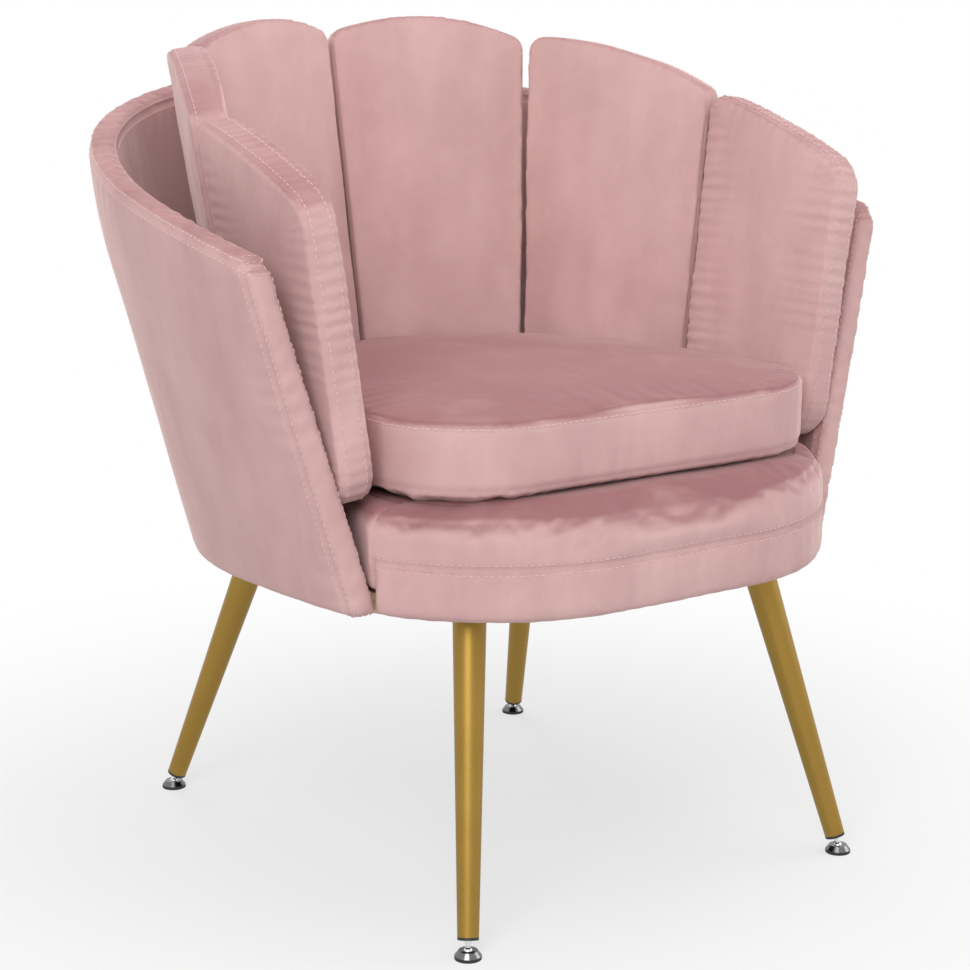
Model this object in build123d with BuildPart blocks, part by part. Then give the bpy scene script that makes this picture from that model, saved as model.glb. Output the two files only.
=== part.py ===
"""Upholstered petal-back tub armchair: six padded petals stand inside a low outer shell,
around a loose seat cushion on a padded deck, on four splayed brass-finished legs.

Millimetres, +Z up, +Y to the back. The origin is on the floor at the middle of the chair's box.
The tub axis is the vertical line that the shell, the petals and the feet are laid out around.
"""

import os
from math import atan, cos, radians, sin

from build123d import *

# Overall layout, reaches from the tub axis
FRONT_REACH = 294.0
SHELL_FOOT_RADIUS = 290.0    # plan of the base behind, at the seat board
FLARE_RUN = 69.9             # how far the shell's wall leans out up to its knee
KNEE_RUN = 21.1              # and from the knee up to its crest
BACK_REACH = SHELL_FOOT_RADIUS + FLARE_RUN + KNEE_RUN
TUB_Y = (FRONT_REACH - BACK_REACH) / 2
SOFT_GAP = 0.3               # clearance between soft pieces
FIT_GAP = 0.3                # clearance of a board in its pocket
OVERCUT = 1.0                # how far a cut runs past the face it opens
NEAR = 1.0                   # an edge this close to a face belongs to it
ON_PLANE = 0.01              # an edge this close to a plane lies in it
FOOT_ROUND = 10.0            # lower edge of the shell and of the deck

# Seat board and the cloth under it
BOARD_BOTTOM = 290.0
BOARD_THICKNESS = 18.0
BOARD_TOP = BOARD_BOTTOM + BOARD_THICKNESS
BOARD_INSET = 12.0           # board edge inside the upholstered edge
DUST_COVER_THICKNESS = 1.5
DUST_COVER_INSET = 8.0
DUST_COVER_CLEARANCE = 1.0   # round the leg plates

# Deck, the padded seat base under the cushion
DECK_TOP = 386.0
DECK_CORNER_RADIUS = 202.0
DECK_SIDE_SETBACK = 18.0     # from the shell's foot
DECK_CORNER_X = SHELL_FOOT_RADIUS - DECK_CORNER_RADIUS - DECK_SIDE_SETBACK
DECK_TOP_ROUND = 22.0
DECK_COVER = 5.0             # velvet and wadding over the foam

# Petals, set back from the shell's foot at floor level
BACK_SETBACK = 144.5
SIDE_SETBACK = 139.5
ARM_SETBACK = 116.8
# Heading in degrees from the back, reach of the inner face at floor level, flare with height
BACK_PANEL = (21.0, SHELL_FOOT_RADIUS - BACK_SETBACK, 0.1665)
SIDE_PANEL = (65.0, SHELL_FOOT_RADIUS - SIDE_SETBACK, 0.155)
ARM_PANEL = (86.0, SHELL_FOOT_RADIUS - ARM_SETBACK, 0.15)
PETAL_BOTTOM = DECK_TOP + SOFT_GAP
PETAL_THICKNESS = 33.0
PETAL_CROWN = 5.0            # swell of a petal's inner face
PETAL_ROUND = 4.0
PETAL_SEAM_GAP = 0.4         # half the gap between neighbours
PETAL_CORNER = 17.0
BACK_TOP = (768.0, 783.0, 758.0)     # heights of the top edge: inner seam, crest, outer seam
SIDE_TOP = (762.0, 752.0, 713.0)
ARM_TOP = (713.0, 687.0, 650.0)
ARM_FRONT = -172.0           # front edge of the arm petals, from the tub axis
ARM_FOOT_ROUND = 36.0
ARM_TOP_ROUND = 38.0
PETAL_BOARD = 9.0            # plywood inside each petal
PETAL_BOARD_DEPTH = 11.0     # behind the inner face
PETAL_BOARD_INSET = 16.0
TONGUE_WIDTH = 70.0          # foot of a petal's board, down to the seat board
TONGUE_SHIFT = 12.0          # of an arm petal's tongue, from the seam

# Seat cushion
CUSHION_BOTTOM = DECK_TOP + SOFT_GAP
CUSHION_SEAM = 455.0         # height of the upper seam
CUSHION_CROWN = 20.0         # rise of the middle above the seam
CUSHION_CLEARANCE = 0.8      # from the swell of the back petals
CUSHION_REAR_RADIUS = BACK_PANEL[1] + BACK_PANEL[2] * PETAL_BOTTOM - PETAL_CROWN - CUSHION_CLEARANCE
CUSHION_CORNER_RADIUS = 105.0
CUSHION_CORNER_X = ARM_PANEL[1] + ARM_PANEL[2] * PETAL_BOTTOM - CUSHION_CORNER_RADIUS
CUSHION_FRONT = 246.0
CUSHION_COVER = 4.0
BASE_CLOTH = 1.5

# Outer shell
SHELL_KNEE = 561.0           # above this the wall turns upright
SHELL_FLARE = FLARE_RUN / (SHELL_KNEE - BOARD_BOTTOM)
SHELL_CREST = 728.0          # height where the wall stands upright
SHELL_THICKNESS = 26.0
SHELL_ROUND = 7.0
SHELL_CORNER = 24.0
SHELL_SIDE_CENTRE = 600.0    # centre of a side's sweep, across from the tub axis
SHELL_SIDE_SWEEP = 30.0      # degrees, more than the front edges need
RIM_HEIGHT = 637.0           # rim above the tub axis
RIM_SLOPE = 0.235            # rise of the rim towards the back
EDGE_TOP = (-148.0, 602.0)   # front edge, from the tub axis, and its height
EDGE_FOOT = (-175.0, 303.0)
CORE_THICKNESS = 9.0         # bent plywood
CORE_INSET = 14.0            # from the shell's outer face
CORE_MARGIN = 14.0           # from the rim and the front edge

# Legs
LEG_TOP_RADIUS = 15.5
LEG_FOOT_RADIUS = 9.5
LEG_WALL = 1.5
LEG_SIDE_SETBACK = 125.0     # leg's head from the shell's foot, sideways
LEG_REAR_SETBACK = 128.0
LEG_FRONT_SETBACK = 101.0    # from the front reach
LEG_TOP_X = SHELL_FOOT_RADIUS - LEG_SIDE_SETBACK
LEG_TOP_Y = (LEG_FRONT_SETBACK - FRONT_REACH, SHELL_FOOT_RADIUS - LEG_REAR_SETBACK)
FOOT_X = 218.0
FOOT_Y = (-266.0, 266.0)
PLATE_RADIUS = 36.0
PLATE_THICKNESS = 3.0
PLATE_SCREW_CIRCLE = 26.0
PLATE_SCREWS = 4
PLATE_SCREW_TURN = 45.0      # degrees, first screw from the chair's right
SCREW_RADIUS = 2.4
SCREW_CLEARANCE = 0.2        # round a screw that passes through
SCREW_HEAD_RADIUS = 4.6
SCREW_HEAD_HEIGHT = 2.5
SCREW_GRIP = 13.0            # thread in the board
TONGUE_SCREW_PITCH = 40.0
TONGUE_SCREW_GRIP = 32.0     # thread above the board

# Levelling feet
BALL_HEIGHT = 6.0
BALL_RADIUS = 4.2
STEM_RADIUS = 3.2
NECK_RADIUS = 2.2
NECK_LENGTH = 8.0
STEM_LENGTH = 30.0
SOCKET_GAP = 0.08
PAD_RADIUS = 12.0
PAD_TOP_RADIUS = 8.5
PAD_RIM = 3.0
PAD_ABOVE_BALL = 1.5
INSERT_START = 10.0          # ball centre to the insert's flange, along the leg
INSERT_FLANGE = 2.5
INSERT_LENGTH = 22.0
STEM_GAP = 0.08

# Frames that the pieces share
TUB_AXIS = Axis((0, TUB_Y, 0), (0, 0, 1))
SIDE_AXIS = Axis((-SHELL_SIDE_CENTRE, TUB_Y, 0), (0, 0, 1))
RIGHT_SECTION = Plane(origin=(0, TUB_Y, 0), x_dir=(1, 0, 0), z_dir=(0, -1, 0))

os.makedirs("parts", exist_ok=True)


def save(part, name):
    """Labels a finished piece and writes it to its own file."""
    part.label = name
    export_step(part, f"parts/{name}.step")


def tub_level(height):
    """Horizontal plane at a height, centred on the tub axis."""
    return Plane(origin=(0, TUB_Y, height))


def rounded_seat(height, rear, corner, corner_x, front, inset=0.0):
    """Plan of the seat: round at the back, squarer at the front."""
    with BuildSketch(tub_level(height)) as outline:
        with BuildLine():
            CenterArc((0, 0), rear - inset, 0, 360)
            for x in (-corner_x, corner_x):
                CenterArc((x, corner - front), corner - inset, 0, 360)
        make_hull()
    return outline.sketch


def cushion_plan(height, inset=0.0):
    """Plan of the cushion, and of the deck between the arms."""
    return rounded_seat(
        height, CUSHION_REAR_RADIUS, CUSHION_CORNER_RADIUS, CUSHION_CORNER_X, CUSHION_FRONT, inset
    )


def base_plan(height, inset=0.0):
    """Plan of the whole base: the shell's foot behind, the deck's bow in front."""
    return rounded_seat(
        height, SHELL_FOOT_RADIUS, DECK_CORNER_RADIUS, DECK_CORNER_X, FRONT_REACH, inset
    )


def rim_plane(drop):
    """Sloping plane of the shell's rim, lowered by a drop."""
    return Plane(origin=(0, TUB_Y, RIM_HEIGHT - drop), x_dir=(1, 0, 0), z_dir=(0, -RIM_SLOPE, 1))


def front_plane(setback):
    """Leaning plane of the shell's front edges, facing forwards, moved back by a setback."""
    run = EDGE_TOP[0] - EDGE_FOOT[0]
    rise = EDGE_TOP[1] - EDGE_FOOT[1]
    facing = Vector(0, -rise, run).normalized()
    foot = Vector(0, EDGE_FOOT[0] + TUB_Y, EDGE_FOOT[1])
    return Plane(origin=foot - facing * setback, x_dir=(1, 0, 0), z_dir=facing)


def edges_on(part, plane):
    """Edges of a part that lie in a plane, away from the middle of the chair."""
    return [
        edge
        for edge in part.edges()
        if abs((edge @ 0.5).X) > NEAR
        and all(abs(plane.to_local_coords(edge @ t).Z) < ON_PLANE for t in (0, 0.5, 1))
    ]


def bow_edges(part, height):
    """Edges of the deck's bow at a height, clear of the shell."""
    behind = TUB_Y + EDGE_FOOT[0] - DECK_TOP_ROUND
    return [
        edge
        for edge in part.edges()
        if abs((edge @ 0.5).Z - height) < ON_PLANE and (edge @ 0.5).Y < behind
    ]


def foot_corner(section, foot_radius, bottom):
    """What the rounding of the wall's foot takes off its section."""
    with BuildSketch() as eased:
        add(section)
        fillet(eased.vertices().sort_by_distance((foot_radius, bottom))[0], FOOT_ROUND)
    with BuildSketch(RIGHT_SECTION) as corner:
        with Locations((foot_radius, bottom)):
            Rectangle(4 * FOOT_ROUND, 4 * FOOT_ROUND)
        add(eased.sketch, mode=Mode.SUBTRACT)
    return corner.sketch


def shell_wall(inset, thickness, margin, bottom, rounded=False):
    """The shell's wall, or a layer inside it: a round back and gently curved sides."""
    foot_radius = SHELL_FOOT_RADIUS - inset + SHELL_FLARE * (bottom - BOARD_BOTTOM)
    knee_radius = SHELL_FOOT_RADIUS - inset + SHELL_FLARE * (SHELL_KNEE - BOARD_BOTTOM)
    crest_radius = BACK_REACH - inset
    with BuildSketch(RIGHT_SECTION) as section:
        with BuildLine():
            outer = Line((foot_radius, bottom), (knee_radius, SHELL_KNEE))
            TangentArc(outer @ 1, (crest_radius, SHELL_CREST), tangent=outer % 1)
            Line((crest_radius, SHELL_CREST), (crest_radius - thickness, SHELL_CREST))
            inner = Line((foot_radius - thickness, bottom), (knee_radius - thickness, SHELL_KNEE))
            TangentArc(inner @ 1, (crest_radius - thickness, SHELL_CREST), tangent=inner % 1)
            Line((foot_radius - thickness, bottom), (foot_radius, bottom))
        make_face()
    rim, front = rim_plane(margin), front_plane(margin)
    sweeps = ((TUB_AXIS, 90), (SIDE_AXIS, -SHELL_SIDE_SWEEP))
    corner = foot_corner(section.sketch_local, foot_radius, bottom) if rounded else None
    with BuildPart() as wall:
        for axis, turn in sweeps:
            add(section.sketch)
            revolve(axis=axis, revolution_arc=turn)
        split(bisect_by=rim, keep=Keep.BOTTOM)
        split(bisect_by=front, keep=Keep.BOTTOM)
        if rounded:
            front_edges = edges_on(wall.part, front)
            fillet([edge for edge in edges_on(wall.part, rim) if edge in front_edges], SHELL_CORNER)
            fillet(edges_on(wall.part, rim) + edges_on(wall.part, front), SHELL_ROUND)
            for axis, turn in sweeps:
                add(corner)
                revolve(axis=axis, revolution_arc=turn, mode=Mode.SUBTRACT)
        mirror(about=Plane.YZ)
    return wall.part


def panel_normal(panel):
    """Level direction in which a petal faces outwards."""
    heading = radians(panel[0])
    return Vector(sin(heading), cos(heading), 0)


def panel_plane(panel, depth=0.0):
    """Plane of a petal on the right side: x towards the back, y up the petal, z outwards."""
    outward = panel_normal(panel)
    lean = atan(panel[2])
    reach = panel[1] + panel[2] * PETAL_BOTTOM
    origin = Vector(0, TUB_Y, PETAL_BOTTOM) + outward * reach
    facing = outward * cos(lean) - Vector(0, 0, sin(lean))
    plane = Plane(origin=origin, x_dir=(-outward.Y, outward.X, 0), z_dir=facing)
    return plane.offset(depth)


def seam(first, second, height):
    """Where the inner faces of two petals meet at a height, from the tub axis."""
    a, b = panel_normal(first), panel_normal(second)
    reach_a = first[1] + first[2] * height
    reach_b = second[1] + second[2] * height
    size = a.X * b.Y - a.Y * b.X
    return Vector((reach_a * b.Y - a.Y * reach_b) / size, (a.X * reach_b - reach_a * b.X) / size, 0)


def on_panel(panel, point, height):
    """A seam point at a height, in the petal's own plane."""
    outward = panel_normal(panel)
    return (-outward.Y * point.X + outward.X * point.Y, (height - PETAL_BOTTOM) / cos(atan(panel[2])))


def middle_seam(panel, height):
    """Where a back petal meets its mirror image."""
    return Vector(0, (panel[1] + panel[2] * height) / panel_normal(panel).Y, 0)


def arm_edge(panel, height):
    """Front edge of an arm petal."""
    outward = panel_normal(panel)
    return Vector((panel[1] + panel[2] * height - outward.Y * ARM_FRONT) / outward.X, ARM_FRONT, 0)


def petal_edges(name):
    """Panel of a petal, its rear and front edges as functions of height, and its top heights."""
    if name == "back":
        return (BACK_PANEL, lambda z: middle_seam(BACK_PANEL, z),
                lambda z: seam(BACK_PANEL, SIDE_PANEL, z), BACK_TOP)
    if name == "side":
        return (SIDE_PANEL, lambda z: seam(BACK_PANEL, SIDE_PANEL, z),
                lambda z: seam(SIDE_PANEL, ARM_PANEL, z), SIDE_TOP)
    return (ARM_PANEL, lambda z: seam(SIDE_PANEL, ARM_PANEL, z),
            lambda z: arm_edge(ARM_PANEL, z), ARM_TOP)


def petal_outline(name, depth, inset):
    """Outline of a petal, drawn in by an inset, on a plane at a depth behind its inner face."""
    panel, rear, front, top = petal_edges(name)
    foot_rear = on_panel(panel, rear(PETAL_BOTTOM), PETAL_BOTTOM)
    foot_front = on_panel(panel, front(PETAL_BOTTOM), PETAL_BOTTOM)
    top_rear = on_panel(panel, rear(top[0]), top[0])
    top_front = on_panel(panel, front(top[2]), top[2])
    crest = ((top_rear[0] + top_front[0]) / 2, (top[1] - PETAL_BOTTOM) / cos(atan(panel[2])))
    with BuildSketch(panel_plane(panel, depth)) as outline:
        with BuildLine():
            Line(foot_rear, foot_front)
            Line(foot_front, top_front)
            ThreePointArc(top_front, crest, top_rear)
            Line(top_rear, foot_rear)
        make_face()
        corners = [(top_rear, PETAL_CORNER), (top_front, PETAL_CORNER)]
        if name == "arm":
            corners = [(top_rear, PETAL_CORNER), (top_front, ARM_TOP_ROUND), (foot_front, ARM_FOOT_ROUND)]
        for corner, radius in corners:
            fillet(outline.vertices().sort_by_distance(corner)[0], radius)
        offset(amount=-inset, kind=Kind.INTERSECTION, mode=Mode.REPLACE)
    return outline.sketch


def petal_span(name):
    """Left and right ends of a petal in its own plane."""
    panel, rear, front, top = petal_edges(name)
    ends = [on_panel(panel, edge(z), z)[0] for edge in (rear, front) for z in (PETAL_BOTTOM, top[0])]
    return min(ends), max(ends)


def tongue_centre(name):
    """Middle of the foot of a petal's board, along the petal."""
    panel, rear, front, top = petal_edges(name)
    rear_end = on_panel(panel, rear(PETAL_BOTTOM), PETAL_BOTTOM)[0]
    front_end = on_panel(panel, front(PETAL_BOTTOM), PETAL_BOTTOM)[0]
    if name == "arm":
        return rear_end - TONGUE_SHIFT - TONGUE_WIDTH / 2
    return (rear_end + front_end) / 2


def board_layer(name, gap):
    """Plywood of a petal with its foot, or the pocket for it when a gap is given."""
    panel = petal_edges(name)[0]
    depth = PETAL_BOARD_DEPTH - gap
    thickness = PETAL_BOARD + 2 * gap
    foot = (PETAL_BOTTOM - BOARD_TOP) * 2
    outline = petal_outline(name, depth, PETAL_BOARD_INSET - gap)
    with BuildPart() as layer:
        extrude(outline, thickness, dir=panel_plane(panel).z_dir)
        with BuildSketch(panel_plane(panel, depth)):
            with Locations((tongue_centre(name), (PETAL_BOARD_INSET - foot) / 2 + OVERCUT)):
                Rectangle(TONGUE_WIDTH + 2 * gap, foot + PETAL_BOARD_INSET + 2 * OVERCUT)
        extrude(amount=thickness)
        split(bisect_by=Plane.XY.offset(BOARD_TOP), keep=Keep.TOP)
    return layer.part


def petal_pad(name):
    """Padded petal with a swelling inner face and a pocket for its plywood, open below."""
    panel = petal_edges(name)[0]
    low, high = petal_span(name)
    frame = panel_plane(panel)
    below = frame.origin - frame.y_dir * PETAL_THICKNESS
    across = Plane(origin=below, x_dir=frame.x_dir, z_dir=frame.y_dir)
    outline = petal_outline(name, -PETAL_CROWN, PETAL_SEAM_GAP)
    pocket = board_layer(name, FIT_GAP)
    with BuildPart() as pad:
        extrude(outline, PETAL_THICKNESS + PETAL_CROWN, dir=frame.z_dir)
        with BuildSketch(across):
            with BuildLine():
                Polyline((low, 0), (low, -PETAL_THICKNESS), (high, -PETAL_THICKNESS), (high, 0))
                ThreePointArc((high, 0), ((low + high) / 2, PETAL_CROWN), (low, 0))
            make_face()
        extrude(amount=BACK_TOP[1], mode=Mode.INTERSECT)
        rounded = []
        for edge in pad.part.edges():
            middle = frame.to_local_coords(edge @ 0.5)
            if middle.Y > NEAR and (middle.Z < NEAR or middle.Z > PETAL_THICKNESS - NEAR):
                rounded.append(edge)
        fillet(rounded, PETAL_ROUND)
        add(pocket, mode=Mode.SUBTRACT)
        split(bisect_by=Plane.XY.offset(PETAL_BOTTOM), keep=Keep.TOP)
    return pad.part


def tongue_points(name):
    """Screw points under a petal's board, at the top of the seat board."""
    panel = petal_edges(name)[0]
    frame = panel_plane(panel, PETAL_BOARD_DEPTH + PETAL_BOARD / 2)
    down = (PETAL_BOTTOM - BOARD_TOP) / cos(atan(panel[2]))
    points = []
    for shift in (-TONGUE_SCREW_PITCH / 2, TONGUE_SCREW_PITCH / 2):
        spot = frame.from_local_coords(Vector(tongue_centre(name) + shift, -down, 0))
        points.append(Vector(spot.X, spot.Y, BOARD_TOP))
    return points


def leg_axis(side, end):
    """Ball centre of a foot, and the unit direction up the leg from it."""
    foot = Vector(side * FOOT_X, FOOT_Y[end] + TUB_Y, BALL_HEIGHT)
    head = Vector(side * LEG_TOP_X, LEG_TOP_Y[end] + TUB_Y, BOARD_BOTTOM)
    return foot, (head - foot).normalized(), head


PETALS = ("back", "side", "arm")
LEGS = {
    "front_left": (-1, 0),
    "front_right": (1, 0),
    "rear_left": (-1, 1),
    "rear_right": (1, 1),
}
PLATE_BOTTOM = BOARD_BOTTOM - PLATE_THICKNESS
TONGUE_SCREWS = [point for name in PETALS for point in tongue_points(name)]
TONGUE_SCREWS += [Vector(-point.X, point.Y, point.Z) for point in TONGUE_SCREWS]
PLATE_HOLES = []
for side, end in LEGS.values():
    head = leg_axis(side, end)[2]
    for k in range(PLATE_SCREWS):
        turn = radians(PLATE_SCREW_TURN + 360 * k / PLATE_SCREWS)
        PLATE_HOLES.append(head + Vector(cos(turn), sin(turn), 0) * PLATE_SCREW_CIRCLE)


def drill(points, radius, start, end, mode=Mode.SUBTRACT):
    """Upright round holes, or pins, at points between two heights."""
    with Locations(*[Vector(point.X, point.Y, start) for point in points]):
        Cylinder(radius, end - start, align=(Align.CENTER, Align.CENTER, Align.MIN), mode=mode)


# Seat board, with clearance holes for the tongue screws and pilot holes for the plate screws
with BuildPart() as seat_board:
    add(base_plan(BOARD_BOTTOM, BOARD_INSET))
    extrude(amount=BOARD_THICKNESS)
    drill(TONGUE_SCREWS, SCREW_RADIUS + SCREW_CLEARANCE, BOARD_BOTTOM, BOARD_TOP)
    drill(TONGUE_SCREWS, SCREW_HEAD_RADIUS + SCREW_CLEARANCE,
          BOARD_BOTTOM, BOARD_BOTTOM + SCREW_HEAD_HEIGHT)
    drill(PLATE_HOLES, SCREW_RADIUS, BOARD_BOTTOM, BOARD_BOTTOM + SCREW_GRIP)
save(seat_board.part, "seat_board")

# Dust cover under the board, open round each leg plate
with BuildPart() as dust_cover:
    add(base_plan(BOARD_BOTTOM - DUST_COVER_THICKNESS, BOARD_INSET + DUST_COVER_INSET))
    extrude(amount=DUST_COVER_THICKNESS)
    drill([leg_axis(*leg)[2] for leg in LEGS.values()], PLATE_RADIUS + DUST_COVER_CLEARANCE,
          BOARD_BOTTOM - DUST_COVER_THICKNESS, BOARD_BOTTOM)
save(dust_cover.part, "dust_cover")


def deck_body(inset, bottom, foot_round=0.0):
    """The deck, or the foam in it: a bowed front before the shell, a narrower seat behind."""
    top = DECK_TOP - inset
    with BuildPart() as deck:
        add(base_plan(bottom, inset))
        extrude(amount=top - bottom)
        split(bisect_by=front_plane(-inset - SOFT_GAP), keep=Keep.TOP)
        fillet(bow_edges(deck.part, top), DECK_TOP_ROUND - inset)
        if foot_round:
            fillet(bow_edges(deck.part, bottom), foot_round)
        add(cushion_plan(BOARD_TOP, inset))
        extrude(amount=top - BOARD_TOP)
    return deck.part


# Deck cover and its foam, over the front of the board
deck_outside = deck_body(0, BOARD_BOTTOM, FOOT_ROUND)
deck_hollow = deck_body(DECK_COVER, BOARD_TOP)
with BuildPart() as deck_cover:
    add(deck_outside)
    add(deck_hollow, mode=Mode.SUBTRACT)
    add(base_plan(BOARD_BOTTOM, BOARD_INSET - FIT_GAP))
    extrude(amount=BOARD_THICKNESS, mode=Mode.SUBTRACT)
save(deck_cover.part, "deck_cover")
save(deck_body(DECK_COVER + SOFT_GAP, BOARD_TOP), "deck_foam")


def cushion_body(inset, bottom):
    """Crowned block with a sewn upper edge, drawn in by an inset."""
    peak = CUSHION_SEAM + CUSHION_CROWN - inset
    crown_radius = CUSHION_FRONT**2 / (2 * CUSHION_CROWN)
    with BuildPart() as body:
        add(cushion_plan(bottom, inset))
        extrude(amount=peak - bottom + OVERCUT)
        with Locations(Location((0, TUB_Y, peak - crown_radius), (90, 0, 0))):
            Sphere(crown_radius, mode=Mode.INTERSECT)
    return body.part


# Loose seat cushion: crowned velvet cover, foam inside, base cloth below
cushion_outside = cushion_body(0, CUSHION_BOTTOM)
cushion_hollow = cushion_body(CUSHION_COVER, CUSHION_BOTTOM - OVERCUT)
with BuildPart() as cushion_cover:
    add(cushion_outside)
    add(cushion_hollow, mode=Mode.SUBTRACT)
save(cushion_cover.part, "cushion_cover")
save(cushion_body(CUSHION_COVER + SOFT_GAP, CUSHION_BOTTOM + BASE_CLOTH), "cushion_foam")

with BuildPart() as cushion_base:
    add(cushion_plan(CUSHION_BOTTOM, CUSHION_COVER + SOFT_GAP))
    extrude(amount=BASE_CLOTH)
save(cushion_base.part, "cushion_base")

# Outer shell: bent plywood standing on the seat board, padded all round
save(shell_wall(CORE_INSET, CORE_THICKNESS, CORE_MARGIN, BOARD_TOP), "shell_core")

shell_outside = shell_wall(0, SHELL_THICKNESS, 0, BOARD_BOTTOM, rounded=True)
core_pocket = shell_wall(CORE_INSET - FIT_GAP, CORE_THICKNESS + 2 * FIT_GAP,
                         CORE_MARGIN - FIT_GAP, BOARD_BOTTOM - OVERCUT)
with BuildPart() as shell_cover:
    add(shell_outside)
    add(core_pocket, mode=Mode.SUBTRACT)
    add(base_plan(BOARD_BOTTOM - OVERCUT, BOARD_INSET - FIT_GAP))
    extrude(amount=BOARD_THICKNESS + OVERCUT, mode=Mode.SUBTRACT)
save(shell_cover.part, "shell_cover")

# Petals, their plywood and the screws that hold them down
for name in PETALS:
    pad = petal_pad(name)
    save(pad, f"{name}_petal_right")
    save(pad.mirror(Plane.YZ), f"{name}_petal_left")
    layer = board_layer(name, 0)
    with BuildPart() as board:
        add(layer)
        drill(tongue_points(name), SCREW_RADIUS, BOARD_TOP, BOARD_TOP + TONGUE_SCREW_GRIP)
    save(board.part, f"{name}_petal_board_right")
    save(board.part.mirror(Plane.YZ), f"{name}_petal_board_left")

with BuildPart() as petal_screws:
    drill(TONGUE_SCREWS, SCREW_RADIUS, BOARD_BOTTOM, BOARD_TOP + TONGUE_SCREW_GRIP, mode=Mode.ADD)
    drill(TONGUE_SCREWS, SCREW_HEAD_RADIUS, BOARD_BOTTOM, BOARD_BOTTOM + SCREW_HEAD_HEIGHT,
          mode=Mode.ADD)
save(petal_screws.part, "petal_screws")

# Legs: tapered tube under a round plate, with a plug, a stem and a swivelling pad at the foot
for name, leg in LEGS.items():
    foot, up, head = leg_axis(*leg)
    along = Plane(origin=foot, x_dir=Vector(0, 0, 1).cross(up).normalized(),
                  z_dir=Vector(0, 0, 1).cross(up).normalized().cross(up))
    spin = Axis(foot, up)
    start = INSERT_START + INSERT_FLANGE
    length = (head - foot).length + LEG_TOP_RADIUS
    with BuildPart() as tube:
        with BuildSketch(along):
            with BuildLine():
                Polyline((LEG_FOOT_RADIUS - LEG_WALL, start), (LEG_FOOT_RADIUS, start),
                         (LEG_TOP_RADIUS, length), (LEG_TOP_RADIUS - LEG_WALL, length), close=True)
            make_face()
        revolve(axis=spin)
        split(bisect_by=Plane.XY.offset(PLATE_BOTTOM), keep=Keep.BOTTOM)
    save(tube.part, f"leg_{name}")

    with BuildPart() as plate:
        with Locations(Vector(head.X, head.Y, PLATE_BOTTOM)):
            Cylinder(PLATE_RADIUS, PLATE_THICKNESS, align=(Align.CENTER, Align.CENTER, Align.MIN))
        drill(PLATE_HOLES, SCREW_RADIUS + SCREW_CLEARANCE, PLATE_BOTTOM, BOARD_BOTTOM)
    save(plate.part, f"leg_plate_{name}")

    plug_radius = LEG_FOOT_RADIUS - LEG_WALL - STEM_GAP
    with BuildPart() as plug:
        with BuildSketch(along):
            with BuildLine():
                Polyline((STEM_RADIUS + STEM_GAP, INSERT_START), (LEG_FOOT_RADIUS, INSERT_START),
                         (LEG_FOOT_RADIUS, start), (plug_radius, start),
                         (plug_radius, start + INSERT_LENGTH),
                         (STEM_RADIUS + STEM_GAP, start + INSERT_LENGTH), close=True)
            make_face()
        revolve(axis=spin)
    save(plug.part, f"leg_plug_{name}")

    with BuildPart() as stem:
        with BuildSketch(along):
            with BuildLine():
                Polyline((0, 0), (NECK_RADIUS, 0), (NECK_RADIUS, NECK_LENGTH),
                         (STEM_RADIUS, NECK_LENGTH), (STEM_RADIUS, STEM_LENGTH), (0, STEM_LENGTH),
                         close=True)
            make_face()
        revolve(axis=spin)
        with Locations(foot):
            Sphere(BALL_RADIUS)
    save(stem.part, f"glide_stem_{name}")

    with BuildPart() as pad:
        with BuildSketch(Plane(origin=(foot.X, foot.Y, 0), x_dir=(1, 0, 0), z_dir=(0, -1, 0))):
            with BuildLine():
                Polyline((0, 0), (PAD_RADIUS, 0), (PAD_RADIUS, PAD_RIM),
                         (PAD_TOP_RADIUS, BALL_HEIGHT + PAD_ABOVE_BALL),
                         (0, BALL_HEIGHT + PAD_ABOVE_BALL), close=True)
            make_face()
        revolve(axis=Axis((foot.X, foot.Y, 0), (0, 0, 1)))
        with Locations(foot):
            Sphere(BALL_RADIUS + SOCKET_GAP, mode=Mode.SUBTRACT)
    save(pad.part, f"glide_pad_{name}")

with BuildPart() as plate_screws:
    drill(PLATE_HOLES, SCREW_RADIUS, PLATE_BOTTOM, BOARD_BOTTOM + SCREW_GRIP, mode=Mode.ADD)
    drill(PLATE_HOLES, SCREW_HEAD_RADIUS, PLATE_BOTTOM - SCREW_HEAD_HEIGHT, PLATE_BOTTOM, mode=Mode.ADD)
save(plate_screws.part, "plate_screws")
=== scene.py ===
"""Dresses the petal-back tub armchair: rose velvet pads, stitched seams, brushed brass legs and glides."""

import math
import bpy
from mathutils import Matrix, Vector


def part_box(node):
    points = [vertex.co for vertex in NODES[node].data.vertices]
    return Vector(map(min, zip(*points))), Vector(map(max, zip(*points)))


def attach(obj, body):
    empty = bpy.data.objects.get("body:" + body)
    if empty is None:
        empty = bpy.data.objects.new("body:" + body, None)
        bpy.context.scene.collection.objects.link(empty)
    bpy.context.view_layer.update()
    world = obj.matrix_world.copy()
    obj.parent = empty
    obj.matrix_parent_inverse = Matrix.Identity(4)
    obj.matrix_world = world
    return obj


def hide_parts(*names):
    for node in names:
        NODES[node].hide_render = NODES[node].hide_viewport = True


bl_info = {
    "name": "Petal Armchair Dressing",
    "version": (1, 0, 0),
    "blender": (4, 5, 0),
    "location": "View3D > Sidebar > Armchair",
    "description": "Makes the velvet pads, seams, stitches, metal finishes and studio of a petal armchair",
    "category": "Object",
}

from functools import cache

import bmesh
import bpy
import numpy as np
from bpy.props import FloatProperty, FloatVectorProperty, PointerProperty
from mathutils import Matrix, Vector, bvhtree, kdtree, noise

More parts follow.
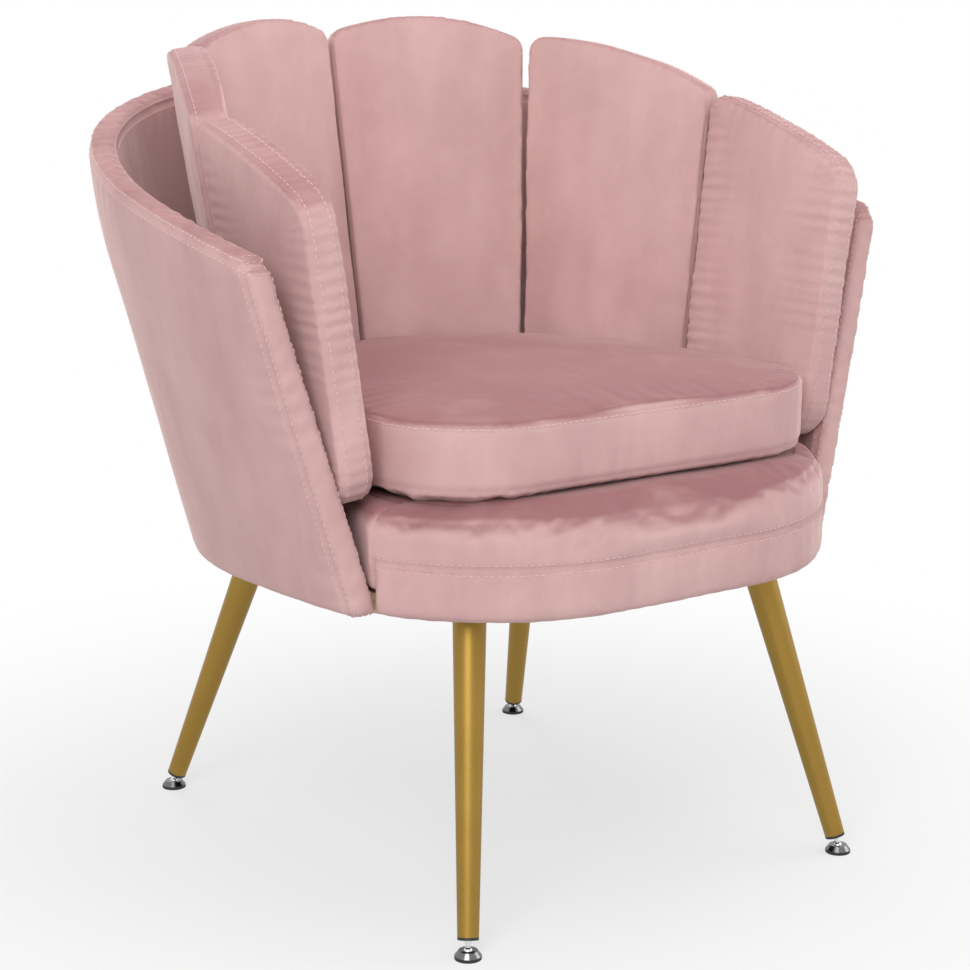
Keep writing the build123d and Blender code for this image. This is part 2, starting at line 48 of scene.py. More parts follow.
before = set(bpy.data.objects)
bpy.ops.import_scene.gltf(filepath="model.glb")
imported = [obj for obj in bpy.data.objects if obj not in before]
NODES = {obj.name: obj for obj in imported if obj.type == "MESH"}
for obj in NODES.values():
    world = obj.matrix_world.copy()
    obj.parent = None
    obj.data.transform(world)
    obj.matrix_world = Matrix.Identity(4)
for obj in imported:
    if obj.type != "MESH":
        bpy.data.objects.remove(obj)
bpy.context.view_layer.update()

FRAME_BODY = "chair_frame"
CUSHION_BODY = "cushion"
CORNERS = ("front_left", "front_right", "rear_left", "rear_right")
SIDES = {"left": -1.0, "right": 1.0}
UP = Vector((0, 0, 1))
WHITE = (1, 1, 1, 1)
WHITE_RAYS = ("Camera", "Glossy", "Transmission")

MERGE = 1e-5          # points this close are one
ON_CUT = 1e-6         # points this close to a plane lie on its cut
SEAM_STEP = 0.002     # between the points of a seam that is drawn in
HOLD_STEP = 0.003     # between the points of a seam that holds the cloth
NEAR_STEP = 0.004     # between the points that smaller squares gather round
SHORTEST_LOOP = 0.3   # shorter cuts of the shell are no seams
CLOTH_STEPS = 20


def middle(node):
    """Centre of a part's box."""
    low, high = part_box(node)
    return (low + high) / 2


# The tub axis stands midway between the feet, and the petals stand on the deck
TUB = sum((middle(f"glide_pad_{corner}") for corner in CORNERS), Vector()) / len(CORNERS)
PETAL_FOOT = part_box("back_petal_right")[0].z

# Petals: heading from the back, reach of the inner face at floor level, and flare with height
PETAL_PANELS = {
    "back": (math.radians(21.0), 0.1455, 0.1665),
    "side": (math.radians(65.0), 0.1505, 0.155),
    "arm": (math.radians(86.0), 0.1732, 0.15),
}

# Shell: height and rise of the rim's plane, and the front edge's plane, both from the tub axis
RIM_POINT = Vector((0, TUB.y, 0.637))
RIM_NORMAL = Vector((0, -0.235, 1)).normalized()
EDGE_POINT = Vector((0, TUB.y - 0.175, 0.303))
EDGE_NORMAL = Vector((0, -0.299, 0.027)).normalized()


class ChairSizes(bpy.types.PropertyGroup):
    """Sizes of the sewing and padding."""

    petal_thickness: FloatProperty(
        name="Petal thickness", description="From a petal's inner edge seam to its outer one",
        default=0.033, unit="LENGTH")
    pad_grain: FloatProperty(
        name="Pad grain", description="Size of the cloth's squares in the simulation of a petal",
        default=0.0042, unit="LENGTH")
    block_grain: FloatProperty(
        name="Block grain", description="Size of the cloth's squares on the deck and the cushion",
        default=0.005, unit="LENGTH")
    stitch_pitch: FloatProperty(
        name="Stitch pitch", description="From one stitch to the next", default=0.0062, unit="LENGTH")
    stitch_length: FloatProperty(
        name="Stitch length", description="Length of one stitch", default=0.0044, unit="LENGTH")
    thread: FloatProperty(
        name="Thread", description="Radius of the sewing thread", default=0.00045, unit="LENGTH")
    groove: FloatProperty(
        name="Seam depth", description="How far a seam draws the velvet in", default=0.0016, unit="LENGTH")
    band: FloatProperty(
        name="Band seam", description="From the shell's rim and front edges to the seams of their bands",
        default=0.0075, unit="LENGTH")
    twin: FloatProperty(
        name="Twin rows", description="From a seam to the row of stitches beside it",
        default=0.0042, unit="LENGTH")
    edge_drop: FloatProperty(
        name="Cushion edge", description="From the top of the cushion down to its sewn edge",
        default=0.015, unit="LENGTH")
    crown: FloatProperty(
        name="Cushion crown", description="Rise of the cushion's middle above its front edge",
        default=0.02, unit="LENGTH")


class ChairColours(bpy.types.PropertyGroup):
    """Colours of the velvet, the metal and the studio."""

    # Dark and light velvet: random strokes of tone fall between them, and painted shade turns the faces
    # that look up towards the dark one.
    velvet: FloatVectorProperty(
        name="Velvet", description="Velvet with the nap lying towards the viewer",
        default=(0.27, 0.125, 0.13), subtype="COLOR", min=0, max=1)
    velvet_light: FloatVectorProperty(
        name="Brushed velvet", description="Velvet with the nap brushed over",
        default=(0.655, 0.435, 0.42), subtype="COLOR", min=0, max=1)
    sheen: FloatVectorProperty(
        name="Sheen", description="Light caught on the tips of the pile",
        default=(1.0, 0.78, 0.75), subtype="COLOR", min=0, max=1)
    thread: FloatVectorProperty(
        name="Thread", description="Sewing thread",
        default=(0.60, 0.38, 0.365), subtype="COLOR", min=0, max=1)
    brass: FloatVectorProperty(
        name="Brass", description="Brushed brass of the legs",
        default=(0.355, 0.22, 0.05), subtype="COLOR", min=0, max=1)
    studio: FloatVectorProperty(
        name="Studio", description="Floor and background",
        default=(0.6, 0.6, 0.6), subtype="COLOR", min=0, max=1)


def sizes():
    """The sizes that the panel shows."""
    return bpy.context.scene.chair_sizes


def colours():
    """The colours that the panel shows."""
    return bpy.context.scene.chair_colours


class Value:
    """A shader value that can be added, subtracted and multiplied in Python expressions."""

    def __init__(self, nodes, socket):
        self.nodes = nodes
        self.socket = socket

    def _math(self, operation, first, second):
        return self.nodes.node("ShaderNodeMath", {"operation": operation}, {0: first, 1: second})

    def __add__(self, other):
        return self._math("ADD", self, other)

    __radd__ = __add__

    def __sub__(self, other):
        return self._math("SUBTRACT", self, other)

    def __rsub__(self, other):
        return self._math("SUBTRACT", other, self)

    def __mul__(self, other):
        return self._math("MULTIPLY", self, other)

    __rmul__ = __mul__


class Nodes:
    """A node tree, its output and the one way of adding nodes to it."""

    def __init__(self, tree, output):
        self.tree = tree
        self.tree.nodes.clear()
        self.output = self.tree.nodes.new(output)

    def node(self, kind, settings=None, inputs=None, out=0):
        """Adds a node, sets it up, feeds its sockets and gives one of its outputs."""
        node = self.tree.nodes.new(kind)
        for name, value in (settings or {}).items():
            if name == "stops":
                while len(node.color_ramp.elements) < len(value):
                    node.color_ramp.elements.new(0.5)
                for element, (position, shade) in zip(node.color_ramp.elements, value):
                    element.position = position
                    element.color = (shade, shade, shade, 1)
            else:
                setattr(node, name, value)
        for socket, value in (inputs or {}).items():
            if isinstance(value, Value):
                self.tree.links.new(value.socket, node.inputs[socket])
            else:
                node.inputs[socket].default_value = value
        return Value(self, node.outputs[out])

    def show(self, value):
        """Links a shader to the output."""
        self.tree.links.new(value.socket, self.output.inputs["Surface"])

    def white_rays(self):
        """One for the rays that see the studio as plain white."""
        return sum(self.node("ShaderNodeLightPath", out=f"Is {kind} Ray") for kind in WHITE_RAYS)


class Finish(Nodes):
    """A material: a principled shader and the nodes that feed it."""

    def __init__(self, name, constants):
        self.material = bpy.data.materials.new(name)
        self.material.use_nodes = True
        super().__init__(self.material.node_tree, "ShaderNodeOutputMaterial")
        self.shader = self.node("ShaderNodeBsdfPrincipled", None, constants)
        self.show(self.shader)

    def feed(self, socket, value):
        """Links a value to the shader."""
        self.tree.links.new(value.socket, self.shader.socket.node.inputs[socket])

    def place(self, scale=(1, 1, 1)):
        """The piece's own coordinates in metres, stretched."""
        here = self.node("ShaderNodeTexCoord", out="Object")
        return self.node("ShaderNodeMapping", None, {"Vector": here, "Scale": scale})

    def grain(self, place, scale, detail=3.0, roughness=0.5, distortion=0.0):
        """Noise of a scale, as a value."""
        return self.node("ShaderNodeTexNoise", None, {
            "Vector": place, "Scale": scale, "Detail": detail, "Roughness": roughness,
            "Distortion": distortion}, out="Fac")

    def ramp(self, value, *stops):
        """A value read through a ramp of grey stops."""
        return self.node("ShaderNodeValToRGB", {"stops": stops}, {"Fac": value})

    def mix(self, factor, first, second):
        """Mix of two colours."""
        pair = [c if isinstance(c, Value) else (*c, 1) for c in (first, second)]
        return self.node("ShaderNodeMix", {"data_type": "RGBA"},
                         {0: factor, 6: pair[0], 7: pair[1]}, out=2)

    def bump(self, height, strength, distance):
        """Feeds a height to the shader's normal."""
        normal = self.node("ShaderNodeBump", None, {
            "Height": height, "Strength": strength, "Distance": distance}, out="Normal")
        self.feed("Normal", normal)


@cache
def velvet():
    """Rose velvet: brushed patches of pile, painted shade on faces that look up, fine pile and sheen."""
    tint = colours()
    cloth = Finish("rose_velvet", {
        "Roughness": 0.85, "Sheen Weight": 0.55, "Sheen Roughness": 0.32,
        "Sheen Tint": (*tint.sheen, 1), "Specular IOR Level": 0.15})
    place = cloth.place()
    # The stored attribute is random strokes of tone plus painted shade on faces that look up; it picks
    # between the dark and the light velvet.
    lying = cloth.node("ShaderNodeAttribute", {"attribute_name": "nap"}, out="Fac")
    patch = cloth.grain(place, 21.0, 3.0, 0.55, 0.9)
    streak = cloth.grain(cloth.place((16, 16, 5)), 2.6, 4.0, 0.6, 0.5)
    strokes_and_top_shade = cloth.ramp(lying + patch * 0.22 + streak * 0.2 - 0.21, (0.0, 0.0), (1.0, 1.0))
    pile = cloth.grain(place, 1400.0, 2.0, 0.6)
    shade = cloth.mix(strokes_and_top_shade, tuple(tint.velvet), tuple(tint.velvet_light))
    deep = cloth.mix(0.14, shade, (0.2, 0.06, 0.06))
    cloth.feed("Base Color", cloth.mix(pile, deep, shade))
    cloth.feed("Roughness", 0.95 - strokes_and_top_shade * 0.15)
    cloth.bump(pile * 0.6 + patch * 0.9, strength=0.25, distance=0.0015)
    return cloth.material


@cache
def thread():
    """Twisted sewing thread."""
    line = Finish("rose_thread", {"Roughness": 0.6, "Sheen Weight": 0.3})
    twist = line.grain(line.place(), 900.0, 2.0)
    line.feed("Base Color", line.mix(twist, tuple(colours().thread), (0.74, 0.52, 0.50)))
    line.bump(twist, strength=0.3, distance=0.0004)
    return line.material


def brushed_brass():
    """Brass drawn along the leg, with fine lines and faint tarnish."""
    metal = Finish("brushed_brass", {"Metallic": 1.0, "Roughness": 0.34})
    lines = metal.grain(metal.place((1, 1, 0.03)), 900.0, 4.0, 0.7)
    cloud = metal.grain(metal.place(), 22.0, 3.0, 0.6)
    tone = tuple(colours().brass)
    dull = tuple(c * 0.72 for c in tone)
    bright = tuple(c * 1.12 for c in tone)
    metal.feed("Base Color", metal.mix(lines * 0.55 + cloud * 0.45, dull, bright))
    metal.feed("Roughness", 0.26 + lines * 0.2 + cloud * 0.08)
    metal.bump(lines, strength=0.12, distance=0.0004)
    return metal.material


def glide_finish():
    """Bright dome on a dark base, by height above the floor."""
    base_height = 0.0031
    cap = Finish("glide_cap", {"Metallic": 1.0, "Roughness": 0.15})
    here = cap.node("ShaderNodeTexCoord", out="Object")
    height = cap.node("ShaderNodeSeparateXYZ", None, {0: here}, out="Z")
    dome = cap.node("ShaderNodeMath", {"operation": "GREATER_THAN"}, {0: height, 1: base_height})
    scuff = cap.grain(cap.place(), 400.0, 3.0)
    cap.feed("Base Color", cap.mix(dome, (0.012, 0.012, 0.012), (0.17, 0.17, 0.175)))
    cap.feed("Metallic", dome)
    cap.feed("Roughness", 0.5 - dome * 0.38 + scuff * 0.1)
    return cap.material


def plain_finish(name, colour, roughness, metallic, scale, spread):
    """A finish for small and hidden parts: one colour with grain of a scale."""
    plain = Finish(name, {"Roughness": roughness, "Metallic": metallic})
    grain = plain.grain(plain.place(), scale, 4.0, 0.6)
    low = tuple(c * (1 - spread) for c in colour)
    plain.feed("Base Color", plain.mix(grain, low, colour))
    plain.feed("Roughness", roughness - 0.08 + grain * 0.16)
    plain.bump(grain, strength=0.15, distance=0.0005)
    return plain.material


def plywood():
    """Plywood with stretched grain."""
    board = Finish("plain_plywood", {"Roughness": 0.6})
    grain = board.grain(board.place((6, 0.6, 40)), 9.0, 5.0, 0.6, 0.8)
    board.feed("Base Color", board.mix(grain, (0.45, 0.29, 0.16), (0.72, 0.53, 0.33)))
    board.bump(grain, strength=0.2, distance=0.0006)
    return board.material


def new_piece(name, bm, material, body):
    """Turns a bmesh into a finished object that rides on a body."""
    mesh = bpy.data.meshes.new(name)
    bm.to_mesh(mesh)
    bm.free()
    return dress(name, mesh, material, body)


def dress(name, mesh, material, body):
    """An object of a mesh, smooth, with a material, riding on a body."""
    piece = bpy.data.objects.new(name, mesh)
    bpy.context.scene.collection.objects.link(piece)
    mesh.materials.clear()
    mesh.materials.append(material)
    mesh.polygons.foreach_set("use_smooth", [True] * len(mesh.polygons))
    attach(piece, body)
    return piece


def hull(nodes, keep=lambda point: True):
    """Closed convex form round the points of CAD parts."""
    bm = bmesh.new()
    for node in nodes:
        bm.from_mesh(NODES[node].data)
    bmesh.ops.delete(bm, geom=[v for v in bm.verts if not keep(v.co)], context="VERTS")
    bmesh.ops.remove_doubles(bm, verts=bm.verts, dist=MERGE)
    made = bmesh.ops.convex_hull(bm, input=bm.verts)
    waste = {e for key in ("geom_interior", "geom_unused") for e in made[key]}
    bmesh.ops.delete(bm, geom=[e for e in waste if isinstance(e, bmesh.types.BMVert)], context="VERTS")
    bmesh.ops.recalc_face_normals(bm, faces=bm.faces)
    return bm


def sliced(bm, point, normal):
    """A copy of a form cut by a plane, and what lies on the cut."""
    cut = bm.copy()
    made = bmesh.ops.bisect_plane(cut, geom=cut.verts[:] + cut.edges[:] + cut.faces[:],
                                  plane_co=point, plane_no=normal, dist=ON_CUT)
    return cut, made["geom_cut"]


def ring(bm, point, normal):
    """Long loops of points in order, where a plane cuts a closed form."""
    cut, made = sliced(bm, point, normal)
    links = {}
    for edge in made:
        if isinstance(edge, bmesh.types.BMEdge):
            first, second = edge.verts
            links.setdefault(first, []).append(second)
            links.setdefault(second, []).append(first)
    loops = []
    left = dict.fromkeys(links)
    while left:
        here = next(iter(left))
        del left[here]
        loop = [here]
        while True:
            onward = [v for v in links[here] if v in left]
            if not onward:
                break
            here = onward[0]
            del left[here]
            loop.append(here)
        loops.append([v.co.copy() for v in loop])
    cut.free()
    return [loop for loop in loops
            if sum((b - a).length for a, b in zip(loop, loop[1:])) > SHORTEST_LOOP]


def outline(bm, point, normal):
    """Points where a plane cuts a convex form, in order round their middle."""
    cut, made = sliced(bm, point, normal)
    spots = [v.co.copy() for v in made if isinstance(v, bmesh.types.BMVert)]
    cut.free()
    centre = sum(spots, Vector()) / len(spots)
    across = normal.orthogonal().normalized()
    along = normal.cross(across)
    return sorted(spots, key=lambda p: math.atan2((p - centre).dot(along), (p - centre).dot(across)))


def even(points, step):
    """The same closed path with points at even steps."""
    track = points + points[:1]
    spots, carry = [], 0.0
    for a, b in zip(track, track[1:]):
        span = (b - a).length
        while carry <= span and span > 0:
            spots.append(a.lerp(b, carry / span))
            carry += step
        carry -= span
    return spots


def remeshed(name, bm, grain):
    """A form's skin in even squares."""
    mesh = bpy.data.meshes.new(name)
    bm.to_mesh(mesh)
    form = bpy.data.objects.new(name, mesh)
    bpy.context.scene.collection.objects.link(form)
    squares = form.modifiers.new("squares", "REMESH")
    squares.mode = "VOXEL"
    squares.voxel_size = grain
    return applied(form)


def applied(form):
    """The object's mesh with its modifiers applied; the object is removed."""
    graph = bpy.context.evaluated_depsgraph_get()
    mesh = bpy.data.meshes.new_from_object(form.evaluated_get(graph))
    bpy.data.objects.remove(form)
    return mesh


def points_of(mesh):
    """Vertex positions as an array."""
    flat = np.empty(len(mesh.vertices) * 3, np.float32)
    mesh.vertices.foreach_get("co", flat)
    return flat.reshape(-1, 3)


def normals_of(mesh):
    """Vertex normals as an array."""
    flat = np.empty(len(mesh.vertices) * 3, np.float32)
    mesh.vertex_normals.foreach_get("vector", flat)
    return flat.reshape(-1, 3)


def move_points(mesh, places):
    """Writes vertex positions back."""
    mesh.vertices.foreach_set("co", np.ascontiguousarray(places, np.float32).ravel())
    mesh.update()


def tree_of(path):
    """Search tree of a path's points."""
    tree = kdtree.KDTree(len(path))
    for index, spot in enumerate(path):
        tree.insert(spot, index)
    tree.balance()
    return tree


def inflated(mesh, seams, *, pressure, cap, hold):
    """Swells a skin as stuffed cloth, held along its seams, by no more than a cap."""
    form = bpy.data.objects.new("stuffing", mesh)
    bpy.context.scene.collection.objects.link(form)
    start = points_of(mesh)
    tree = tree_of([spot for seam in seams for spot in even(seam, HOLD_STEP)])
    held = form.vertex_groups.new(name="held")
    held.add([i for i, co in enumerate(start) if tree.find(Vector(co))[2] < hold], 1.0, "REPLACE")
    cloth = form.modifiers.new("cloth", "CLOTH")
    cloth.settings.quality = 4
    cloth.settings.use_pressure = True
    cloth.settings.uniform_pressure_force = pressure
    cloth.settings.effector_weights.gravity = 0
    cloth.settings.vertex_group_mass = "held"
    cloth.settings.tension_stiffness = 12
    cloth.settings.compression_stiffness = 12
    cloth.settings.bending_stiffness = 0.4
    for step in range(1, CLOTH_STEPS + 1):
        bpy.context.scene.frame_set(step)
    swollen = applied(form)
    shift = points_of(swollen) - start
    far = np.linalg.norm(shift, axis=1, keepdims=True)
    move_points(swollen, start + shift * np.minimum(1.0, cap / np.maximum(far, 1e-9)))
    bpy.context.scene.frame_set(1)
    return swollen


def refined(mesh):
    """The skin divided once and smoothed."""
    form = bpy.data.objects.new("refined", mesh)
    bpy.context.scene.collection.objects.link(form)
    division = form.modifiers.new("division", "SUBSURF")
    division.levels = 1
    division.render_levels = 1
    return applied(form)


def sew(mesh, path, *, depth, width, pucker, reach, pitch, seed):
    """Draws the skin in along a seam, with small gathers beside it."""
    spots = even(path, SEAM_STEP)
    tree = tree_of(spots)
    waves = np.array([
        math.sin(2 * math.pi * i * SEAM_STEP / pitch + 3.0 * noise.noise(Vector((i * 0.04, seed, 0.3))))
        * (0.55 + 0.9 * noise.noise(Vector((i * 0.021, seed, 7.1)))) for i in range(len(spots))])
    places = points_of(mesh)
    found = [tree.find(Vector(co))[1:] for co in places]
    index = np.array([f[0] for f in found])
    away = np.array([f[1] for f in found])
    lift = -depth * np.exp(-((away / width) ** 2))
    lift = lift + pucker * waves[index] * (away / reach) * np.exp(1 - away / reach)
    move_points(mesh, places + normals_of(mesh) * lift[:, None])


def rumpled(mesh, *, amount, size, seed):
    """Soft unevenness of stuffing, over the whole skin."""
    places = points_of(mesh)
    shift = Vector((seed, seed, seed))
    lift = np.array([noise.noise(Vector(co) / size + shift) for co in places])
    move_points(mesh, places + normals_of(mesh) * (amount * lift)[:, None])


def brushed(mesh, *, seed, turned=0.84):
    """Stores a tone per point: random soft strokes of the pile, and painted shade that makes faces that
    look up darker by the amount turned.
    """
    lying, stroke = 0.8, 0.2
    # Painted shade: the more a face looks up, the darker its tone.
    up = np.clip((normals_of(mesh)[:, 2] - 0.15) / 0.7, 0, 1)
    up = up * up * (3 - 2 * up)
    shift = Vector((seed, seed * 1.7, seed * 0.3))
    strokes = np.array([
        noise.noise(Vector((co[0] * 9, co[1] * 9, co[2] * 4)) + shift)
        + 0.5 * noise.noise(Vector((co[0] * 31, co[1] * 31, co[2] * 9)) + shift) for co in points_of(mesh)])
    nap = mesh.attributes.new("nap", "FLOAT", "POINT")
    nap.data.foreach_set("value", np.clip(lying - turned * up + stroke * strokes, 0, 1).astype(np.float32))


def refined_near(mesh, paths, reach):
    """The skin with smaller squares along closed paths."""
    tree = tree_of([spot for path in paths for spot in even(path, NEAR_STEP)])
    bm = bmesh.new()
    bm.from_mesh(mesh)
    close = {v for v in bm.verts if tree.find(v.co)[2] < reach}
    edges = [e for e in bm.edges if e.verts[0] in close and e.verts[1] in close]
    bmesh.ops.subdivide_edges(bm, edges=edges, cuts=1, use_grid_fill=True)
    bm.to_mesh(mesh)
    bm.free()


def one_stitch():
    """Mesh of a single stitch, lying along x."""
    size = sizes()
    shape = Matrix.Diagonal((size.stitch_length / 2, size.thread, size.thread, 1))
    bm = bmesh.new()
    bmesh.ops.create_uvsphere(bm, u_segments=6, v_segments=4, radius=1.0,
                              matrix=shape @ Matrix.Rotation(math.pi / 2, 4, "Y"))
    mesh = bpy.data.meshes.new("stitch")
    bm.to_mesh(mesh)
    bm.free()
    return mesh


def stitch_line(bm, surface, path):
    """Adds a row of stitches to a bmesh, laid on a surface along a path."""
    size = sizes()
    pattern = one_stitch()
    spots = even(path, size.stitch_pitch)
    for here, ahead in zip(spots, spots[1:]):
        spot, normal, *_ = surface.find_nearest(here)
        run = ahead - here
        run = (run - normal * run.dot(normal)).normalized()
        if run.length < 0.5:
            continue
        turn = Matrix((run, normal.cross(run), normal)).transposed().to_4x4()
        stitch = pattern.copy()
        stitch.transform(Matrix.Translation(spot + normal * size.thread * 0.45) @ turn)
        bm.from_mesh(stitch)
        bpy.data.meshes.remove(stitch)
    bpy.data.meshes.remove(pattern)


def surface_of(mesh):
    """Search tree of a skin's faces."""
    bm = bmesh.new()
    bm.from_mesh(mesh)
    tree = bvhtree.BVHTree.FromBMesh(bm)
    bm.free()
    return tree


def panel_frame(kind, side):
    """A point on a petal's inner face at its foot, and its outward direction."""
    heading, reach, flare = PETAL_PANELS[kind]
    level = Vector((side * math.sin(heading), math.cos(heading), 0))
    lean = math.atan(flare)
    point = Vector((0, TUB.y, PETAL_FOOT)) + level * (reach + flare * PETAL_FOOT)
    return point, (level * math.cos(lean) - UP * math.sin(lean)).normalized()


def steady_number(name):
    """A small number that is always the same for a name."""
    return sum(ord(letter) * (i + 1) for i, letter in enumerate(name)) % 97 * 0.731


class DressPetals(bpy.types.Operator):
    """Pads, sews and stitches the six petals"""

    bl_idname = "armchair.dress_petals"
    bl_label = "Petals"

    INNER_SEAM = 0.0025     # behind the inner face
    OUTER_SEAM = 0.003      # before the outer face
    ROW = 0.0075            # of stitches, from either face
    SEAM_WIDTH = 0.0026
    GATHERS = {"back": 0.0001, "side": 0.0001, "arm": 0.0006}

    def execute(self, context):
        size = sizes()
        stitches = bmesh.new()
        for kind in PETAL_PANELS:
            for side_name, side in SIDES.items():
                node = f"{kind}_petal_{side_name}"
                point, outward = panel_frame(kind, side)
                form = hull([node])
                thick = size.petal_thickness
                inner = outline(form, point + outward * self.INNER_SEAM, outward)
                outer = outline(form, point + outward * (thick - self.OUTER_SEAM), outward)
                skin = remeshed(node + "_form", form, size.pad_grain)
                skin = inflated(skin, [inner, outer], pressure=4.0, cap=0.007, hold=0.0035)
                skin = refined(skin)
                seed = steady_number(node)
                gather = self.GATHERS[kind]
                rumpled(skin, amount=0.0012, size=0.055, seed=seed)
                sew(skin, inner, depth=size.groove, width=self.SEAM_WIDTH,
                    pucker=gather * 0.3, reach=0.014, pitch=0.016, seed=seed)
                sew(skin, outer, depth=size.groove, width=self.SEAM_WIDTH,
                    pucker=gather, reach=0.014, pitch=0.012, seed=seed + 5)
                # Painted shade on the petals' faces that look up, weaker than on the cushion.
                brushed(skin, seed=seed, turned=0.5)
                piece = dress(f"{kind}_petal_velvet_{side_name}", skin, velvet(), FRAME_BODY)
                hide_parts(node)
                surface = surface_of(skin)
                rows = [thick - self.ROW]
                if kind == "arm":
                    rows.append(self.ROW)
                for depth in rows:
                    stitch_line(stitches, surface, outline(form, point + outward * depth, outward))
                form.free()
        new_piece("petal_stitches", stitches, thread(), FRAME_BODY)
        return {"FINISHED"}


class DressCushion(bpy.types.Operator):
    """Stuffs, sews and stitches the loose seat cushion"""

    bl_idname = "armchair.dress_cushion"
    bl_label = "Seat cushion"

    UNDERSIDE = 1e-4        # edges this near the lowest point lie on the underside
    UNDER_ROUND = 0.012     # lower edge
    PLAN_HEIGHT = 0.03      # above the underside, where the outline is taken
    LOW_SEAM = 0.014        # above the underside
    SEAM_DROP = 0.0015      # of the upper seam, below the sewn edge
    SEAM_WIDTH = 0.003
    LEVEL_FROM = 0.025      # above the underside, where the levelling starts
    LEVEL_OVER = 0.035      # and the height over which it grows

    def level(self, skin, plan, low):
        """Evens the crown out, so that the sewn edge runs level all round."""
        places = points_of(skin)
        turn = np.array([math.atan2(p.y - TUB.y, p.x) for p in plan])
        edge = np.array([math.hypot(p.x, p.y - TUB.y) for p in plan])
        order = np.argsort(turn)
        across, along = places[:, 0], places[:, 1] - TUB.y
        reach = np.hypot(across, along)
        share = reach / np.interp(np.arctan2(along, across), turn[order], edge[order], period=2 * math.pi)
        crown = sizes().crown * reach**2 / (low.y - TUB.y) ** 2
        weight = np.clip((places[:, 2] - low.z - self.LEVEL_FROM) / self.LEVEL_OVER, 0, 1)
        places[:, 2] += weight * (crown - sizes().edge_drop * share**2)
        move_points(skin, places)

    def upper_edge(self, plan, high, drop):
        """The cushion's outline at the height of its sewn edge, lowered by a drop."""
        return [Vector((p.x, p.y, high.z - sizes().edge_drop - drop)) for p in plan]

    def execute(self, context):
        size = sizes()
        form = hull(["cushion_cover"])
        low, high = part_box("cushion_cover")
        under = [e for e in form.edges if all(v.co.z < low.z + self.UNDERSIDE for v in e.verts)]
        bmesh.ops.bevel(form, geom=under, offset=self.UNDER_ROUND, segments=4, profile=0.5,
                        affect="EDGES", material=-1)
        bmesh.ops.triangulate(form, faces=form.faces)
        plan = outline(form, Vector((0, 0, low.z + self.PLAN_HEIGHT)), UP)
        top_seam = self.upper_edge(plan, high, self.SEAM_DROP)
        low_seam = outline(form, Vector((0, 0, low.z + self.LOW_SEAM)), UP)
        skin = remeshed("cushion_form", form, size.block_grain)
        form.free()
        self.level(skin, plan, low)
        skin = inflated(skin, [top_seam, low_seam], pressure=4.0, cap=0.01, hold=0.004)
        skin = refined(skin)
        rumpled(skin, amount=0.0016, size=0.09, seed=2.0)
        sew(skin, top_seam, depth=size.groove, width=self.SEAM_WIDTH,
            pucker=0.0002, reach=0.016, pitch=0.02, seed=1.0)
        sew(skin, low_seam, depth=size.groove, width=self.SEAM_WIDTH,
            pucker=0.0005, reach=0.014, pitch=0.02, seed=4.0)
        # Painted shade at full strength on the cushion's top, which looks up.
        brushed(skin, seed=3.0)
        piece = dress("cushion_velvet", skin, velvet(), CUSHION_BODY)
        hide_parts("cushion_cover", "cushion_foam")
        stitches = bmesh.new()
        stitch_line(stitches, surface_of(skin), self.upper_edge(plan, high, self.SEAM_DROP + size.twin))
        new_piece("cushion_stitches", stitches, thread(), CUSHION_BODY)
        return {"FINISHED"}


class DressDeck(bpy.types.Operator):
    """Pads the deck's bowed front and the platform behind it"""

    bl_idname = "armchair.dress_deck"
    bl_label = "Deck"

    TUCK = 0.009            # of the front pad, behind the shell's foremost point
    SEAM_HEIGHT = 0.048     # above the deck's foot
    FOOT_HEIGHT = 0.004     # where the cloth is held, above the deck's foot
    ROW = 0.0045            # of stitches, from the seam
    PLATFORM_RISE = 0.017   # of the platform, above the deck's foot

    def execute(self, context):
        size = sizes()
        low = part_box("deck_cover")[0]
        front_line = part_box("shell_cover")[0].y
        roll = hull(["deck_cover"], lambda p: p.y < front_line + self.TUCK)
        seam_height = low.z + self.SEAM_HEIGHT
        seam = outline(roll, Vector((0, 0, seam_height)), UP)
        foot = outline(roll, Vector((0, 0, low.z + self.FOOT_HEIGHT)), UP)
        skin = remeshed("deck_form", roll, size.block_grain)
        skin = inflated(skin, [seam, foot], pressure=2.0, cap=0.006, hold=0.005)
        skin = refined(skin)
        rumpled(skin, amount=0.0014, size=0.07, seed=9.0)
        sew(skin, seam, depth=size.groove * 1.2, width=0.003,
            pucker=0.0006, reach=0.015, pitch=0.022, seed=6.0)
        # Painted shade on the deck's faces that look up.
        brushed(skin, seed=5.0)
        piece = dress("deck_front_velvet", skin, velvet(), FRAME_BODY)
        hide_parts("deck_cover", "deck_foam")
        surface = surface_of(skin)
        stitches = bmesh.new()
        for rise in (-self.ROW, self.ROW):
            stitch_line(stitches, surface, outline(roll, Vector((0, 0, seam_height + rise)), UP))
        roll.free()
        new_piece("deck_stitches", stitches, thread(), FRAME_BODY)
        platform = hull(["deck_cover"], lambda p: p.y > front_line and p.z > low.z + self.PLATFORM_RISE)
        skin = remeshed("platform_form", platform, size.block_grain)
        platform.free()
        # Painted shade on the platform's top, which looks up.
        brushed(skin, seed=8.0)
        rear = dress("deck_platform_velvet", skin, velvet(), FRAME_BODY)
        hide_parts("deck_cover", "deck_foam")
        return {"FINISHED"}


